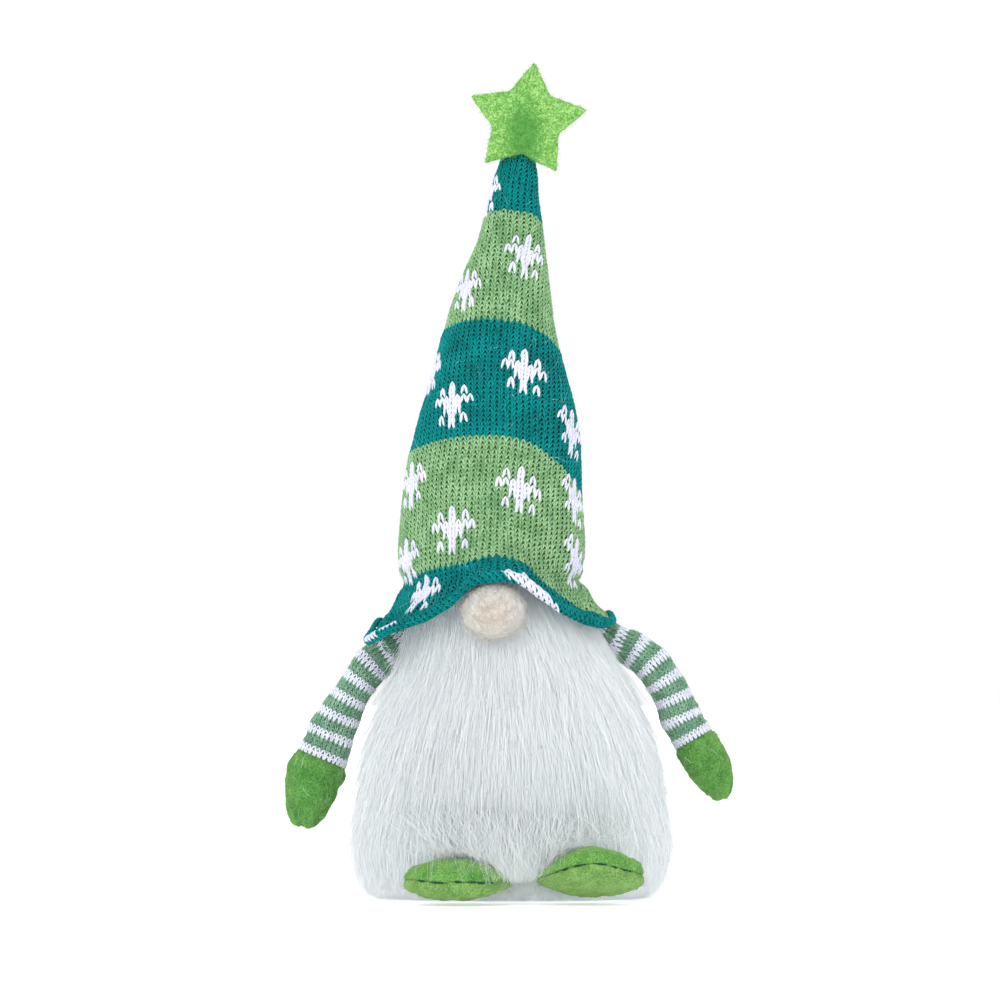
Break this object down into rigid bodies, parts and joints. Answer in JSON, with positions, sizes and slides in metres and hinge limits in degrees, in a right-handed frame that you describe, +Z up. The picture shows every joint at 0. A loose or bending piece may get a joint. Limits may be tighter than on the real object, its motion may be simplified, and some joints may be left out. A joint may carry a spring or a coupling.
{
  "type": "tomte gnome figurine",
  "caption": "Standing stuffed gnome with a tall knitted cone hat, felt star, wool nose, long fur beard, limp arms with mittens and hinged felt feet on a weighted flat base.",
  "frame": {"origin": "on the surface the gnome stands on, under the middle of its box", "axes": "+Z up, -Y towards the front (nose and feet), +X to the viewer's right when facing the gnome"},
  "size_m": [0.2133, 0.1624, 0.4006],
  "materials": {
    "hat_knit": "jacquard stockinette knit, teal and light green bands with white snowflakes, soft matt yarn",
    "hat_star": "thick lime-green felt, matt, slightly mottled",
    "nose": "pale cream felted wool, fuzzy and matt",
    "fur": "white long-pile faux fur, soft with a faint silky sheen",
    "body_plush": "white short-pile plush, matt",
    "base_cloth": "off-white felt base cloth, matt",
    "board": "plain stiff plastic board, matt",
    "pellet_pouch": "plain woven cotton pouch",
    "filling": "loose white polyester fibre",
    "sleeve_knit": "fine stockinette knit, white and sage green stripes",
    "mitten_felt": "leaf-green felt, soft nap, matt",
    "foot_felt": "leaf-green felt with a darker stitched edge, matt",
    "sole_felt": "leaf-green felt sole, matt"
  },
  "bodies": {
    "root": {"body_cover": "body_plush", "base_cover": "base_cloth", "base_board": "board", "weight_pouch": "pellet_pouch", "body_filling": "filling", "nose": "nose", "hat_knit": "hat_knit", "hat_filling": "filling", "hat_star": "hat_star", "beard_fur": "fur", "left_foot_tab": "foot_felt", "right_foot_tab": "foot_felt"},
    "left_shoulder": {"left_shoulder_tab": "sleeve_knit"},
    "left_arm": {"left_sleeve": "sleeve_knit", "left_mitten": "mitten_felt", "left_arm_filling": "filling"},
    "right_shoulder": {"right_shoulder_tab": "sleeve_knit"},
    "right_arm": {"right_sleeve": "sleeve_knit", "right_mitten": "mitten_felt", "right_arm_filling": "filling"},
    "left_foot": {"left_foot_upper": "foot_felt", "left_foot_sole": "sole_felt", "left_foot_filling": "filling"},
    "right_foot": {"right_foot_upper": "foot_felt", "right_foot_sole": "sole_felt", "right_foot_filling": "filling"}
  },
  "joints": [
    {"name": "left_arm_swing", "type": "hinge", "parent": "root", "child": "left_shoulder", "pos_m": [-0.05718, 0.03129, 0.118], "axis": [-1, 0, 0], "range_deg": [-30, 60]},
    {"name": "left_arm_raise", "type": "hinge", "parent": "left_shoulder", "child": "left_arm", "pos_m": [-0.05718, 0.03129, 0.118], "axis": [0, 1, 0], "range_deg": [0, 60]},
    {"name": "right_arm_swing", "type": "hinge", "parent": "root", "child": "right_shoulder", "pos_m": [0.05232, 0.03129, 0.1225], "axis": [-1, 0, 0], "range_deg": [-30, 60]},
    {"name": "right_arm_raise", "type": "hinge", "parent": "right_shoulder", "child": "right_arm", "pos_m": [0.05232, 0.03129, 0.1225], "axis": [0, -1, 0], "range_deg": [0, 60]},
    {"name": "left_foot_lift", "type": "hinge", "parent": "root", "child": "left_foot", "pos_m": [-0.02378, -0.02751, 0.014], "axis": [-1, 0, 0], "range_deg": [0, 45]},
    {"name": "right_foot_lift", "type": "hinge", "parent": "root", "child": "right_foot", "pos_m": [0.03782, -0.02751, 0.014], "axis": [-1, 0, 0], "range_deg": [0, 45]}
  ]
}
